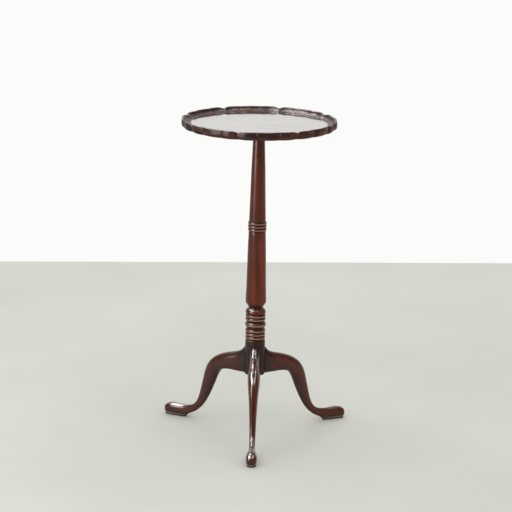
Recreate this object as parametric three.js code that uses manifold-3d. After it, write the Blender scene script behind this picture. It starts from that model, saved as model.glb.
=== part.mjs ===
// A small tilt-top tripod table in mahogany: a dished top with a scalloped rim, a turned column,
// three cabriole legs, and the block, bearers, pins and spring catch that let the top tip up.
// Millimetres, +Z up. One leg points to -Y. The top tips about an axis along X.

import * as THREE from 'three';
import { mergeVertices } from 'three/addons/utils/BufferGeometryUtils.js';
import Module from 'manifold-3d';

const wasm = await Module();
wasm.setup();

// ---------------------------------------------------------------- driving dimensions

const TABLE_HEIGHT = 712;
const TOP_RADIUS = 170;
const FOOT_REACH = 238; // from the column's axis to the tip of a toe
const GAP = 0.3; // play between pieces that house each other or rest on each other

// Top: a dish with a raised, scalloped rim of eight repeats.
const TOP_THICKNESS = 18.4; // from the underside to the crest of the rim
const DISH_DEPTH = 9.4;
const DISH_RADIUS = 148;
const REPEATS = 8;
const MITRE_ANGLE = -14.7; // where one of the eight mitred cusps stands, degrees from -Y
const LOBE_ANGLE = 14; // a lobe stands on each side of a mitred cusp, a long shallow arc between
const UNDERSIDE_Z = TABLE_HEIGHT - TOP_THICKNESS;

// Pivot block on top of the column, and the axis that the top tips about.
const BLOCK_SIDE = 60;
const BLOCK_HEIGHT = 22;
const BLOCK_PLAY = 0.5; // between the block and the underside of the top
const PIVOT_TO_UNDERSIDE = 9;
const BLOCK_TOP_Z = UNDERSIDE_Z - BLOCK_PLAY;
const BLOCK_BASE_Z = BLOCK_TOP_Z - BLOCK_HEIGHT;
const PIVOT_Z = UNDERSIDE_Z - PIVOT_TO_UNDERSIDE;
const PIVOT_ROUND = PIVOT_TO_UNDERSIDE - BLOCK_PLAY;
const PIVOT_Y = BLOCK_SIDE / 2 - PIVOT_ROUND;
const PIN_RADIUS = 3;
const PIN_DEPTH = 14; // how far a pivot pin goes into the block

// Bearers screwed under the top, one on each side of the block.
const BEARER_WIDTH = 18;
const BEARER_HEIGHT = 16;
const BEARER_LENGTH = 230;
const BEARER_END_HEIGHT = 5;
const BEARER_FLAT = 120; // length at full height
const BEARER_X = BLOCK_SIDE / 2 + 1 + BEARER_WIDTH / 2;
const BEARER_SCREWS_Y = [-80, -20, 80];

// Iron plate that ties the three legs together under the hub, let in flush with the legs.
const LEG_BASE_Z = 136.7;
const PLATE_THICKNESS = 2;
const PLATE_REACH = 63;
const PLATE_ARM_WIDTH = 16;
const PLATE_SCREWS_R = [38, 55];

// Column.
const HUB_RADIUS = 22;
const HUB_BASE_Z = LEG_BASE_Z + PLATE_THICKNESS + GAP;
const TENON_RADIUS = 11;
const TURNED_SIDES = 24;

// Legs, dovetailed up into the hub from below.
const TONGUE_TOP_Z = 190;
const TONGUE_INNER_RADIUS = 10;
const TONGUE_NECK = 14;
const TONGUE_BACK = 18;
const LEG_TURNS = { front: -90, left: 150, right: 30 }; // degrees from +X

// Pads under the feet.
const PAD_HEIGHT = 4.7;
const PAD_HEEL = 180.5; // distance of the pad's heel from the column's axis
const PAD_TOE = 235.5;
const PAD_HALF_WIDTH = 10.4;
const PAD_HEEL_HALF_WIDTH = 5.4;

// Spring catch under the front half of the top.
const BOLT_Z = PIVOT_Z + 1.7;
const BOLT_WIDTH = 10;
const BOLT_HEIGHT = 7;
const BOLT_TIP_Y = -26;
const BOLT_SHOULDER_Y = -52;
const STEM_RADIUS = 2;
const CASE_FRONT_Y = -34;
const CASE_BACK_Y = -72;
const CASE_WALL = 4; // the wall that the stem passes through
const SPRING_TURNS = 5;
const WIRE_RADIUS = 0.45;

// ---------------------------------------------------------------- finishes

const POLISHED_TOP = { color: 0x4a1c12, roughness: 0.15, metalness: 0 };
const MAHOGANY = { color: 0x3d1710, roughness: 0.28, metalness: 0 };
const OLD_MAHOGANY = { color: 0x5a3826, roughness: 0.7, metalness: 0 };
const DARK_PAD = { color: 0x17100d, roughness: 0.6, metalness: 0 };
const BRASS = { color: 0xa8813e, roughness: 0.35, metalness: 1 };
const IRON = { color: 0x3a3735, roughness: 0.55, metalness: 1 };
const STEEL = { color: 0x77736d, roughness: 0.4, metalness: 1 };

// ---------------------------------------------------------------- making and cutting solids

const v2 = (x, y) => new THREE.Vector2(x, y);
const v3 = (x, y, z) => new THREE.Vector3(x, y, z);

function toSolid(geometry) {
  const bare = geometry.clone();
  bare.deleteAttribute('normal');
  bare.deleteAttribute('uv');
  const merged = mergeVertices(bare, 1e-4);
  const corners = merged.index.array;
  const triVerts = [];
  for (let i = 0; i < corners.length; i += 3) {
    const [a, b, c] = [corners[i], corners[i + 1], corners[i + 2]];
    if (a !== b && b !== c && c !== a) triVerts.push(a, b, c);
  }
  return new wasm.Manifold(new wasm.Mesh({
    numProp: 3,
    vertProperties: Float32Array.from(merged.attributes.position.array),
    triVerts: Uint32Array.from(triVerts),
  }));
}

function toGeometry(solid) {
  const mesh = solid.getMesh();
  const geometry = new THREE.BufferGeometry();
  geometry.setAttribute('position', new THREE.BufferAttribute(Float32Array.from(mesh.vertProperties), 3));
  geometry.setIndex(new THREE.BufferAttribute(Uint32Array.from(mesh.triVerts), 1));
  geometry.computeVertexNormals();
  return geometry;
}

function cut(geometry, ...tools) {
  const whole = toSolid(geometry);
  return toGeometry(tools.reduce((left, tool) => left.subtract(toSolid(tool)), whole));
}

function join(...geometries) {
  const [first, ...rest] = geometries.map(toSolid);
  return toGeometry(rest.reduce((whole, solid) => whole.add(solid), first));
}

// A box given by its low and high corners.
function boxBetween([x0, y0, z0], [x1, y1, z1]) {
  const box = new THREE.BoxGeometry(x1 - x0, y1 - y0, z1 - z0);
  return box.translate((x0 + x1) / 2, (y0 + y1) / 2, (z0 + z1) / 2);
}

// A turned piece, from a profile of [radius, height] that starts and ends on the axis.
function turnedAlongY(profile, sides) {
  return new THREE.LatheGeometry(profile.map(([r, h]) => v2(r, h)), sides);
}

function turned(profile, sides = TURNED_SIDES) {
  return turnedAlongY(profile, sides).rotateX(Math.PI / 2);
}

function rod(radius, low, high, sides = 12) {
  return turned([[0, low], [radius, low], [radius, high], [0, high]], sides);
}

// An outline of [y, z] points, made as thick as asked along X and centred on x.
function slabAlongX(outline, x, thickness) {
  const shape = new THREE.Shape(outline.map(([y, z]) => v2(y, z)));
  const slab = new THREE.ExtrudeGeometry(shape, { depth: thickness, bevelEnabled: false });
  slab.applyMatrix4(new THREE.Matrix4().makeBasis(v3(0, 1, 0), v3(0, 0, 1), v3(1, 0, 0)));
  return slab.translate(x - thickness / 2, 0, 0);
}

// An outline of [x, y] points, standing between two heights.
function slabAlongZ(outline, low, high) {
  const shape = new THREE.Shape(outline.map(([x, y]) => v2(x, y)));
  const slab = new THREE.ExtrudeGeometry(shape, { depth: high - low, bevelEnabled: false });
  return slab.translate(0, 0, low);
}

// Points [x, y] along a circular arc, angles in degrees.
function arc(x, y, radius, from, to, steps) {
  return Array.from({ length: steps + 1 }, (_, i) => {
    const angle = THREE.MathUtils.degToRad(from + ((to - from) * i) / steps);
    return [x + radius * Math.cos(angle), y + radius * Math.sin(angle)];
  });
}

// A closed skin through rings of equal length, closed at both ends by a fan. The rings run
// anticlockwise as seen from the last ring looking back at the first.
function loft(rings) {
  const count = rings[0].length;
  const points = rings.flat();
  const index = [];
  for (let i = 0; i < rings.length - 1; i += 1) {
    for (let j = 0; j < count; j += 1) {
      const a = i * count + j;
      const b = i * count + ((j + 1) % count);
      index.push(a, b, b + count, a, b + count, a + count);
    }
  }
  const last = (rings.length - 1) * count;
  for (const [ring, start, flip] of [[rings[0], 0, true], [rings.at(-1), last, false]]) {
    const centre = ring.reduce((sum, p) => sum.add(p), v3(0, 0, 0)).divideScalar(count);
    const hub = points.push(centre) - 1;
    for (let j = 0; j < count; j += 1) {
      const a = start + j;
      const b = start + ((j + 1) % count);
      index.push(hub, flip ? b : a, flip ? a : b);
    }
  }
  const geometry = new THREE.BufferGeometry().setFromPoints(points);
  geometry.setIndex(index);
  geometry.computeVertexNormals();
  return geometry;
}

// A slotted countersunk wood screw standing on the origin: its head faces -Z, its tip points up.
const SCREW_SIDES = 10;

function screwProfile(headRadius, shankRadius, length, play) {
  const cone = headRadius - shankRadius;
  return [
    [0, 0],
    [headRadius + play, 0],
    [shankRadius + play, cone],
    [shankRadius + play, length - 2 * shankRadius],
    [0, length + play],
  ];
}

function screw(headRadius, shankRadius, length) {
  const slot = boxBetween([-headRadius * 2, -0.5, -1], [headRadius * 2, 0.5, headRadius * 0.25]);
  return cut(turned(screwProfile(headRadius, shankRadius, length, 0), SCREW_SIDES), slot);
}

// The hole that the screw above needs, sunk `sink` below the surface that it enters.
function screwHole(headRadius, shankRadius, length, sink) {
  const profile = screwProfile(headRadius, shankRadius, length, GAP);
  return turned([[0, -sink], [headRadius + GAP, -sink], ...profile.slice(1)], SCREW_SIDES);
}

function place(geometry, x, y, z) {
  return geometry.clone().translate(x, y, z);
}

function addPiece(group, name, geometry, finish) {
  const mesh = new THREE.Mesh(geometry, new THREE.MeshStandardMaterial(finish));
  mesh.name = name;
  group.add(mesh);
  return mesh;
}

// ---------------------------------------------------------------- top

// How far the edge stands in from the full radius, at an angle from -Y in degrees.
const MITRE_INSET = 5.6;
const NICK_INSET = 3.4;
const LOBE_BULGE = 4.2;
const ARC_BULGE = 2.4;
const REPEAT_ANGLE = 360 / REPEATS;

function edgeInset(angle) {
  const inRepeat = THREE.MathUtils.euclideanModulo(angle - MITRE_ANGLE, REPEAT_ANGLE);
  const fromMitre = Math.min(inRepeat, REPEAT_ANGLE - inRepeat);
  if (fromMitre > LOBE_ANGLE) {
    const along = (fromMitre - LOBE_ANGLE) / (REPEAT_ANGLE - 2 * LOBE_ANGLE);
    return NICK_INSET - ARC_BULGE * Math.sin(Math.PI * along);
  }
  const along = fromMitre / LOBE_ANGLE;
  const chord = MITRE_INSET + (NICK_INSET - MITRE_INSET) * along;
  return chord - LOBE_BULGE * Math.sin(Math.PI * along);
}

// How far the crest of the rim is carved down where two lobes meet.
const MITRE_DIP = 3;
const DIP_HALF_ANGLE = 3;
const DIP_START = TOP_THICKNESS - 5; // nothing below this height is carved

function crestDip(angle, height) {
  const inRepeat = THREE.MathUtils.euclideanModulo(angle - MITRE_ANGLE, REPEAT_ANGLE);
  const fromMitre = Math.min(inRepeat, REPEAT_ANGLE - inRepeat);
  const near = Math.max(0, 1 - fromMitre / DIP_HALF_ANGLE);
  const high = Math.max(0, (height - DIP_START) / (TOP_THICKNESS - DIP_START));
  return MITRE_DIP * near * high;
}

// Angles of the edge's corners: four steps along each lobe and each shallow arc.
function edgeAngles() {
  const shallow = REPEAT_ANGLE - 2 * LOBE_ANGLE;
  const steps = 4;
  const angles = [];
  for (let k = 0; k < REPEATS; k += 1) {
    let start = MITRE_ANGLE + k * REPEAT_ANGLE;
    for (const length of [LOBE_ANGLE, shallow, LOBE_ANGLE]) {
      for (let i = 0; i < steps; i += 1) angles.push(start + (length * i) / steps);
      start += length;
    }
  }
  return angles;
}

// The rim from the underside, up the wall, over the bead and down the cove to the dish:
// [distance in from the full radius, height above the underside, share of the scallop].
const RIM_PROFILE = [
  [9, 0, 1],
  [3.2, 2.2, 1],
  [0.4, 5, 1],
  [0, 8, 1],
  [0.2, TOP_THICKNESS - 1.6, 1],
  [1.6, TOP_THICKNESS, 1],
  [4.6, TOP_THICKNESS - 0.1, 1],
  [6.2, TOP_THICKNESS - 1.6, 0.95],
  [6.9, TOP_THICKNESS - 4, 0.9],
  [9.2, TOP_THICKNESS - 4.6, 0.85],
  [12.5, TOP_THICKNESS - 7.4, 0.7],
  [17, TOP_THICKNESS - 9, 0.5],
  [TOP_RADIUS - DISH_RADIUS, TOP_THICKNESS - DISH_DEPTH, 0],
];

function topBlank() {
  const angles = edgeAngles();
  const rings = RIM_PROFILE.map(([inward, height, share]) => angles.map((angle) => {
    const radius = TOP_RADIUS - inward - share * edgeInset(angle);
    const turn = THREE.MathUtils.degToRad(angle);
    const z = UNDERSIDE_Z + height - crestDip(angle, height);
    return v3(radius * Math.sin(turn), -radius * Math.cos(turn), z);
  }));
  return loft(rings);
}

// ---------------------------------------------------------------- column

// A row of equal reeds between two heights, as a profile that runs upwards.
function reeds(low, high, count, crest, groove) {
  const pitch = (high - low) / count;
  const profile = [];
  for (let i = 0; i < count; i += 1) {
    const start = low + i * pitch;
    profile.push([groove, start]);
    for (const angle of [35, 90, 145]) {
      const turn = THREE.MathUtils.degToRad(angle);
      const height = start + (pitch * (1 - Math.cos(turn))) / 2;
      profile.push([groove + (crest - groove) * Math.sin(turn), height]);
    }
  }
  profile.push([groove, high]);
  return profile;
}

const COLUMN_PROFILE = [
  [0, HUB_BASE_Z],
  [HUB_RADIUS, HUB_BASE_Z],
  [HUB_RADIUS, 214],
  [21.2, 216],
  ...reeds(217, 241, 3, 22.2, 19.2),
  [19, 244],
  ...reeds(244.5, 256.5, 1, 23.2, 19),
  [19, 259],
  ...reeds(259.2, 274.5, 2, 22.3, 19.2),
  [20.2, 275.6],
  [22.3, 277.5],
  [22.4, 280],
  [20.6, 284.5],
  [16.4, 288],
  [15.5, 289.5],
  [16, 291],
  [22.7, 302],
  [22.9, 304],
  [21.7, 343],
  [20.8, 390],
  [19.8, 434],
  [18.8, 462],
  ...reeds(463.5, 484.5, 3, 20.5, 18.3),
  [18.4, 488],
  [17.4, 523],
  [16.4, 559],
  [15.6, 595],
  [14.3, 630],
  [12.9, BLOCK_BASE_Z - GAP],
  [TENON_RADIUS, BLOCK_BASE_Z - GAP],
  [TENON_RADIUS, BLOCK_TOP_Z - GAP],
  [0, BLOCK_TOP_Z - GAP],
];

// The wedge that spreads the tenon, as an outline in [y, z], and its saw cut.
const WEDGE_DEPTH = 15;
const WEDGE_WIDTH = 17;

function wedgeOutline(play) {
  const top = BLOCK_TOP_Z - GAP + (play ? 1 : 0);
  const base = BLOCK_TOP_Z - WEDGE_DEPTH - play;
  return [[-0.6 - play, base], [0.6 + play, base], [1.8 + play, top], [-1.8 - play, top]];
}

// A dovetail tongue in plan, with the leg running out along +X.
function tonguePlan(play) {
  const neckX = HUB_RADIUS + 4;
  const slope = (TONGUE_BACK - TONGUE_NECK) / 2 / (HUB_RADIUS - TONGUE_INNER_RADIUS);
  const neck = TONGUE_NECK / 2 - slope * (neckX - HUB_RADIUS) + play;
  const back = TONGUE_BACK / 2 + play;
  const backX = TONGUE_INNER_RADIUS - play;
  return [[backX, -back], [neckX, -neck], [neckX, neck], [backX, back]];
}

function columnPiece() {
  const sockets = Object.values(LEG_TURNS).map((turn) => {
    const socket = slabAlongZ(tonguePlan(GAP), HUB_BASE_Z - 5, TONGUE_TOP_Z + GAP);
    return socket.rotateZ(THREE.MathUtils.degToRad(turn));
  });
  const kerf = slabAlongX(wedgeOutline(GAP), 0, 3 * TENON_RADIUS);
  return cut(turned(COLUMN_PROFILE), ...sockets, kerf);
}

// ---------------------------------------------------------------- legs

// Sections of a leg from the hub to the toe, in the leg's own upright plane:
// [upper r, upper z, lower r, lower z, half width, squareness of the lower half].
const LEG_SECTIONS = [
  [17, 208, 17, LEG_BASE_Z, 12.5, 6],
  [25, 196, 25, LEG_BASE_Z, 12.7, 6],
  [34, 186.5, 34, LEG_BASE_Z, 12.9, 5.5],
  [46, 180.8, 46, LEG_BASE_Z, 13.1, 5],
  [60, 177, 64, LEG_BASE_Z, 13.4, 4.2],
  [77, 172, 75, 134.8, 13.7, 3.5],
  [94, 164.8, 83.5, 131.2, 13.6, 3],
  [109.5, 154.2, 90.5, 125, 12.8, 2.6],
  [120, 142, 95.5, 116.5, 11.6, 2.4],
  [126.8, 128.5, 99.6, 106.5, 10.5, 2.3],
  [131.8, 112, 104, 95, 9.5, 2.2],
  [136.5, 92.3, 110.8, 79.5, 8.5, 2.2],
  [141.2, 73, 118.6, 63, 7.7, 2.2],
  [146, 56.3, 127, 48, 7.2, 2.2],
  [151.5, 44.3, 135.5, 36, 6.9, 2.2],
  [158.8, 35.6, 145, 25.8, 6.7, 2.3],
  [167, 30.9, 155.5, 17.5, 6.6, 2.5],
  [175, 28.6, 166, 11.8, 6.8, 2.7],
  [181.5, 27.6, 173.5, 8, 7.2, 3],
  [188, 27.1, 179.5, 3.5, 7.9, 3.4],
  [198, 27, 194, 3, 9.4, 3.6],
  [209, 27.3, 208, 3, 11.2, 3.6],
  [219, 26.9, 220, 3, 12.1, 3.5],
  [227.5, 25, 228.5, 3, 11.5, 3.3],
  [233.6, 21.3, 234.3, 4, 9.2, 3],
  [FOOT_REACH, 15.5, FOOT_REACH, 8, 3.5, 2.6],
];
const SOLE_Z = PAD_HEIGHT + GAP; // the foot is planed flat here, where the pad is fixed
const UPPER_SQUARENESS = 2.4;
const SECTION_POINTS = 14;

// One ring of a leg: a rounded oval from its upper to its lower point.
function legRing(upper, lower, halfWidth, lowerSquareness) {
  const centre = upper.clone().add(lower).multiplyScalar(0.5);
  const rise = upper.clone().sub(centre);
  return Array.from({ length: SECTION_POINTS }, (_, i) => {
    const turn = (2 * Math.PI * i) / SECTION_POINTS;
    const [c, s] = [Math.cos(turn), Math.sin(turn)];
    const power = 2 / (c >= 0 ? UPPER_SQUARENESS : lowerSquareness);
    const up = Math.sign(c) * Math.abs(c) ** power;
    const across = -Math.sign(s) * Math.abs(s) ** power * halfWidth;
    return v3(centre.x + rise.x * up, across, centre.z + rise.z * up);
  });
}

function legBlank() {
  return loft(LEG_SECTIONS.map(([upperR, upperZ, lowerR, lowerZ, halfWidth, squareness]) =>
    legRing(v3(upperR, 0, upperZ), v3(lowerR, 0, lowerZ), halfWidth, squareness)));
}

const PLATE_SCREW = [4, 1.8, 15]; // head radius, shank radius, length
const THREE_WAYS = [0, 120, 240].map((turn) => THREE.MathUtils.degToRad(turn));

// The plate's outline, a disc with three arms, as a solid that is larger all round by `play`.
function plateBlank(play) {
  const [low, high] = [LEG_BASE_Z - play, LEG_BASE_Z + PLATE_THICKNESS + play];
  const half = PLATE_ARM_WIDTH / 2 + play;
  const armPlan = [[0, -half], ...arc(PLATE_REACH + play - half, 0, half, -90, 90, 6), [0, half]];
  const arms = THREE_WAYS.map((turn) => slabAlongZ(armPlan, low, high).rotateZ(turn));
  return join(rod(HUB_RADIUS + play, low, high, TURNED_SIDES), ...arms);
}

function legPiece() {
  const hub = rod(HUB_RADIUS + GAP, HUB_BASE_Z - 20, HUB_BASE_Z + 100, TURNED_SIDES);
  const tongue = slabAlongZ(tonguePlan(0), LEG_BASE_Z, TONGUE_TOP_Z);
  const underFoot = boxBetween([PAD_HEEL - 30, -30, -20], [FOOT_REACH + 20, 30, SOLE_Z]);
  const holes = PLATE_SCREWS_R.map((r) => place(screwHole(...PLATE_SCREW, 1), r, 0, LEG_BASE_Z));
  return cut(join(cut(legBlank(), hub), tongue), underFoot, plateBlank(GAP), ...holes);
}

// A pad in plan: a round toe, straight sides that draw in to a narrower round heel.
function padPiece() {
  const toe = arc(PAD_TOE - PAD_HALF_WIDTH, 0, PAD_HALF_WIDTH, -80, 80, 8);
  const heel = arc(PAD_HEEL + PAD_HEEL_HALF_WIDTH, 0, PAD_HEEL_HALF_WIDTH, 100, 260, 5);
  return slabAlongZ([...toe, ...heel], 0, PAD_HEIGHT);
}

function platePiece() {
  const holes = THREE_WAYS.flatMap((turn) => PLATE_SCREWS_R.map((r) =>
    place(screwHole(...PLATE_SCREW, 1), r, 0, LEG_BASE_Z).rotateZ(turn)));
  return cut(plateBlank(0), ...holes).rotateZ(THREE.MathUtils.degToRad(LEG_TURNS.front));
}

// ---------------------------------------------------------------- pivot block, pins and bearers

const KEEPER_WIDTH = 34;
const KEEPER_THICKNESS = 2;
const KEEPER_BASE_Z = BOLT_Z - 9;
const KEEPER_SCREW = [2.6, 1.3, 11];
const KEEPER_SCREWS_X = [-11.5, 11.5];
const BOLT_PLAY = GAP;
const HOLE_HALF = [BOLT_WIDTH / 2 + BOLT_PLAY, BOLT_HEIGHT / 2 + BOLT_PLAY];

// The passage that the catch bolt needs, from one place along Y to another.
function boltPassage(fromY, toY) {
  const [x, z] = HOLE_HALF;
  return boxBetween([-x, fromY, BOLT_Z - z], [x, toY, BOLT_Z + z]);
}

function keeperScrewHoles() {
  return KEEPER_SCREWS_X.map((x) =>
    place(screwHole(...KEEPER_SCREW, 1).rotateX(-Math.PI / 2), x, -BLOCK_SIDE / 2, BOLT_Z));
}

function pinHole(side) {
  const inner = BLOCK_SIDE / 2 - PIN_DEPTH - GAP;
  const hole = rod(PIN_RADIUS + GAP, inner, inner + 60).rotateY(Math.PI / 2);
  return place(side < 0 ? hole.rotateZ(Math.PI) : hole, 0, PIVOT_Y, PIVOT_Z);
}

function blockPiece() {
  const half = BLOCK_SIDE / 2;
  const outline = [
    [-half, BLOCK_BASE_Z],
    [half, BLOCK_BASE_Z],
    ...arc(PIVOT_Y, PIVOT_Z, PIVOT_ROUND, 0, 90, 8),
    [-half, BLOCK_TOP_Z],
  ];
  const tenonHole = rod(TENON_RADIUS + GAP, BLOCK_BASE_Z - 5, BLOCK_TOP_Z + 5, TURNED_SIDES);
  const recess = boxBetween(
    [-KEEPER_WIDTH / 2 - GAP, -half - 5, KEEPER_BASE_Z - GAP],
    [KEEPER_WIDTH / 2 + GAP, -half + KEEPER_THICKNESS + GAP, BLOCK_TOP_Z + 5],
  );
  const mortise = boltPassage(-half, BOLT_TIP_Y + 2);
  const tools = [tenonHole, recess, mortise, pinHole(-1), pinHole(1), ...keeperScrewHoles()];
  return cut(slabAlongX(outline, 0, BLOCK_SIDE), ...tools);
}

function keeperPiece() {
  const face = -BLOCK_SIDE / 2;
  const plate = boxBetween(
    [-KEEPER_WIDTH / 2, face, KEEPER_BASE_Z],
    [KEEPER_WIDTH / 2, face + KEEPER_THICKNESS, BLOCK_TOP_Z - GAP],
  );
  return cut(plate, boltPassage(face - 1, face + 5), ...keeperScrewHoles());
}

function pinPiece(side) {
  const inner = BLOCK_SIDE / 2 - PIN_DEPTH;
  const outer = BEARER_X + BEARER_WIDTH / 2 - 0.5;
  const pin = rod(PIN_RADIUS, inner, outer).rotateY(Math.PI / 2);
  return place(side < 0 ? pin.rotateZ(Math.PI) : pin, 0, PIVOT_Y, PIVOT_Z);
}

const BEARER_SCREW = [4, 1.9, 13.5];
const BEARER_SCREW_SEAT = 7.5; // from the head's face to the bearer's upper side
const BEARER_TOP_Z = UNDERSIDE_Z - GAP;
const BEARER_SCREW_Z = BEARER_TOP_Z - BEARER_SCREW_SEAT;

function bearerPiece(side) {
  const [end, flat] = [BEARER_LENGTH / 2, BEARER_FLAT / 2];
  const outline = [
    [-end, BEARER_TOP_Z - BEARER_END_HEIGHT],
    [-flat, BEARER_TOP_Z - BEARER_HEIGHT],
    [flat, BEARER_TOP_Z - BEARER_HEIGHT],
    [end, BEARER_TOP_Z - BEARER_END_HEIGHT],
    [end, BEARER_TOP_Z],
    [-end, BEARER_TOP_Z],
  ];
  const x = side * BEARER_X;
  const holes = BEARER_SCREWS_Y.map((y) => place(screwHole(...BEARER_SCREW, 15), x, y, BEARER_SCREW_Z));
  return cut(slabAlongX(outline, x, BEARER_WIDTH), pinHole(side), ...holes);
}

// ---------------------------------------------------------------- spring catch

const CATCH_PLATE_THICKNESS = 2.5;
const CATCH_PLATE_HALF_WIDTH = 20;
const CATCH_TOP_Z = UNDERSIDE_Z - GAP;
const CATCH_PLATE_Z = CATCH_TOP_Z - CATCH_PLATE_THICKNESS;
const CATCH_SCREW = [2.6, 1.3, 7.5];
const CATCH_SCREWS = [[-15, -64], [15, -64], [-15, -42], [15, -42]]; // x, y
const CASE_HALF_WIDTH = 8;
const KNOB_RADIUS = 4.5;
const KNOB_LENGTH = 12;
const KNOB_FRONT_Y = CASE_BACK_Y - 0.5;
const STEM_END_Y = KNOB_FRONT_Y - 7;

function catchScrewHoles() {
  return CATCH_SCREWS.map(([x, y]) => place(screwHole(...CATCH_SCREW, 1), x, y, CATCH_PLATE_Z));
}

function catchCasePiece() {
  const plate = boxBetween(
    [-CATCH_PLATE_HALF_WIDTH, CASE_BACK_Y + 2, CATCH_PLATE_Z],
    [CATCH_PLATE_HALF_WIDTH, CASE_FRONT_Y - 2, CATCH_TOP_Z],
  );
  const box = boxBetween(
    [-CASE_HALF_WIDTH, CASE_BACK_Y, BOLT_Z - BOLT_HEIGHT / 2 - BOLT_PLAY - 2],
    [CASE_HALF_WIDTH, CASE_FRONT_Y, CATCH_PLATE_Z + 1],
  );
  const stemProfile = [[0, CASE_BACK_Y - 1], [STEM_RADIUS + GAP, CASE_BACK_Y - 1]];
  const stemMouth = [[STEM_RADIUS + GAP, CASE_FRONT_Y - 20], [0, CASE_FRONT_Y - 20]];
  const stemHole = place(turnedAlongY([...stemProfile, ...stemMouth], 12), 0, 0, BOLT_Z);
  const chamber = boltPassage(CASE_BACK_Y + CASE_WALL, CASE_FRONT_Y + 1);
  return cut(join(plate, box), chamber, stemHole, ...catchScrewHoles());
}

function boltPiece() {
  const [low, high] = [BOLT_Z - BOLT_HEIGHT / 2, BOLT_Z + BOLT_HEIGHT / 2];
  const bar = slabAlongX([
    [BOLT_SHOULDER_Y, low],
    [BOLT_TIP_Y - 5, low],
    [BOLT_TIP_Y, low + 4.2],
    [BOLT_TIP_Y, high],
    [BOLT_SHOULDER_Y, high],
  ], 0, BOLT_WIDTH);
  const stem = turnedAlongY([
    [0, STEM_END_Y],
    [STEM_RADIUS, STEM_END_Y],
    [STEM_RADIUS, BOLT_SHOULDER_Y + 2],
    [0, BOLT_SHOULDER_Y + 2],
  ], 12);
  return join(bar, place(stem, 0, 0, BOLT_Z));
}

function knobPiece() {
  const end = KNOB_FRONT_Y - KNOB_LENGTH;
  const knob = turnedAlongY([
    [0, end],
    [2, end + 0.3],
    [3.9, end + 2],
    [KNOB_RADIUS, end + 4.2],
    [3.9, end + 6.4],
    [2.9, end + 8],
    [2.9, end + 9.6],
    [3.8, end + 10.6],
    [3.8, KNOB_FRONT_Y],
    [0, KNOB_FRONT_Y],
  ], 16);
  const socket = turnedAlongY([
    [0, STEM_END_Y - GAP],
    [STEM_RADIUS + GAP, STEM_END_Y - GAP],
    [STEM_RADIUS + GAP, KNOB_FRONT_Y + 1],
    [0, KNOB_FRONT_Y + 1],
  ], 12);
  return place(cut(knob, socket), 0, 0, BOLT_Z);
}

class Coil extends THREE.Curve {
  constructor(radius, start, end, turns) {
    super();
    Object.assign(this, { radius, start, end, turns });
  }

  getPoint(t, target = new THREE.Vector3()) {
    const turn = 2 * Math.PI * this.turns * t;
    const along = this.start + (this.end - this.start) * t;
    return target.set(this.radius * Math.cos(turn), along, BOLT_Z + this.radius * Math.sin(turn));
  }
}

function springPiece() {
  const endPlay = GAP + WIRE_RADIUS;
  const start = CASE_BACK_Y + CASE_WALL + endPlay;
  const coil = new Coil(3.05, start, BOLT_SHOULDER_Y - endPlay, SPRING_TURNS);
  const wire = new THREE.Shape(arc(0, 0, WIRE_RADIUS, 0, 288, 4).map(([x, y]) => v2(x, y)));
  const steps = SPRING_TURNS * 10;
  return new THREE.ExtrudeGeometry(wire, { steps, extrudePath: coil, bevelEnabled: false });
}

// ---------------------------------------------------------------- assembly

const table = new THREE.Group();
table.position.y = (FOOT_REACH - TOP_RADIUS) / 2; // the origin is under the middle of the table's box

const stand = new THREE.Group();
table.add(stand);
addPiece(stand, 'column', columnPiece(), MAHOGANY);
addPiece(stand, 'pivot_block', blockPiece(), OLD_MAHOGANY);
addPiece(stand, 'tenon_wedge', slabAlongX(wedgeOutline(0), 0, WEDGE_WIDTH), OLD_MAHOGANY);
addPiece(stand, 'pivot_pin_left', pinPiece(-1), STEEL);
addPiece(stand, 'pivot_pin_right', pinPiece(1), STEEL);
addPiece(stand, 'catch_keeper', keeperPiece(), BRASS);
addPiece(stand, 'tripod_plate', platePiece(), IRON);

KEEPER_SCREWS_X.forEach((x, i) => {
  const mesh = addPiece(stand, `keeper_screw_${i + 1}`, screw(...KEEPER_SCREW), BRASS);
  mesh.position.set(x, -BLOCK_SIDE / 2, BOLT_Z);
  mesh.rotation.x = -Math.PI / 2;
});

for (const [side, turn] of Object.entries(LEG_TURNS)) {
  const limb = new THREE.Group();
  limb.rotation.z = THREE.MathUtils.degToRad(turn);
  stand.add(limb);
  addPiece(limb, `leg_${side}`, legPiece(), MAHOGANY);
  addPiece(limb, `foot_pad_${side}`, padPiece(), DARK_PAD);
  PLATE_SCREWS_R.forEach((r, i) => {
    const mesh = addPiece(limb, `plate_screw_${side}_${i + 1}`, screw(...PLATE_SCREW), IRON);
    mesh.position.set(r, 0, LEG_BASE_Z);
  });
}

const tippingTop = new THREE.Group();
table.add(tippingTop);
const topHoles = [-1, 1].flatMap((side) => BEARER_SCREWS_Y.map((y) =>
  place(screwHole(...BEARER_SCREW, 1), side * BEARER_X, y, BEARER_SCREW_Z)));
addPiece(tippingTop, 'top', cut(topBlank(), ...topHoles, ...catchScrewHoles()), POLISHED_TOP);

for (const [name, side] of [['left', -1], ['right', 1]]) {
  addPiece(tippingTop, `bearer_${name}`, bearerPiece(side), OLD_MAHOGANY);
  BEARER_SCREWS_Y.forEach((y, i) => {
    const mesh = addPiece(tippingTop, `bearer_screw_${name}_${i + 1}`, screw(...BEARER_SCREW), IRON);
    mesh.position.set(side * BEARER_X, y, BEARER_SCREW_Z);
  });
}

addPiece(tippingTop, 'catch_case', catchCasePiece(), BRASS);
addPiece(tippingTop, 'catch_spring', springPiece(), STEEL);
CATCH_SCREWS.forEach(([x, y], i) => {
  const mesh = addPiece(tippingTop, `catch_screw_${i + 1}`, screw(...CATCH_SCREW), BRASS);
  mesh.position.set(x, y, CATCH_PLATE_Z);
});

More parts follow.
